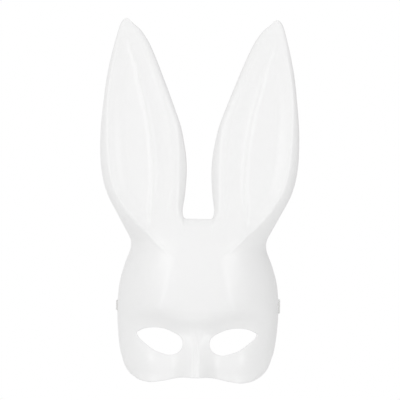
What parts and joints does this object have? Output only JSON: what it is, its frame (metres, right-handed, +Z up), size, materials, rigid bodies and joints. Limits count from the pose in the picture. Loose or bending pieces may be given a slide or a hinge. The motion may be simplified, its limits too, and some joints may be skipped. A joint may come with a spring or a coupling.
{
  "type": "rabbit half mask",
  "caption": "White moulded half mask with two tall rabbit ears, almond eye openings, foam pads behind the face and an adjustable elastic head strap through side slots.",
  "frame": {"origin": "on the eye line, in the plane of symmetry, about 3 mm behind the bridge of the nose; the place the wearer's face comes to", "axes": "+X to the wearer's left, +Y back towards the wearer's head (the mask looks along -Y), +Z up towards the ears"},
  "size_m": [0.1988, 0.189, 0.3633],
  "materials": {
    "shell": "satin gloss moulded PVC",
    "foam": "closed-cell EVA foam, matt",
    "webbing": "woven elastic",
    "thread": "polyester thread",
    "slider": "satin acetal"
  },
  "bodies": {
    "shell": {"mask_shell": "shell", "brow_pad": "foam", "left_cheek_pad": "foam", "right_cheek_pad": "foam", "left_loop": "webbing", "right_loop": "webbing"},
    "strap": {"strap_band": "webbing", "strap_tail": "webbing", "sewn_lap": "webbing", "lap_tack": "thread", "tail_tack": "thread"},
    "slider": {"slider": "slider"}
  },
  "joints": [
    {"name": "strap_swing", "type": "hinge", "parent": "shell", "child": "strap", "pos_m": [0, 0.067, 0.033], "axis": [1, 0, 0], "range_deg": [-45, 45]},
    {"name": "slider_slide", "type": "slide", "parent": "strap", "child": "slider", "axis": [0, -1, 0], "range_m": [0, 0.02]}
  ]
}
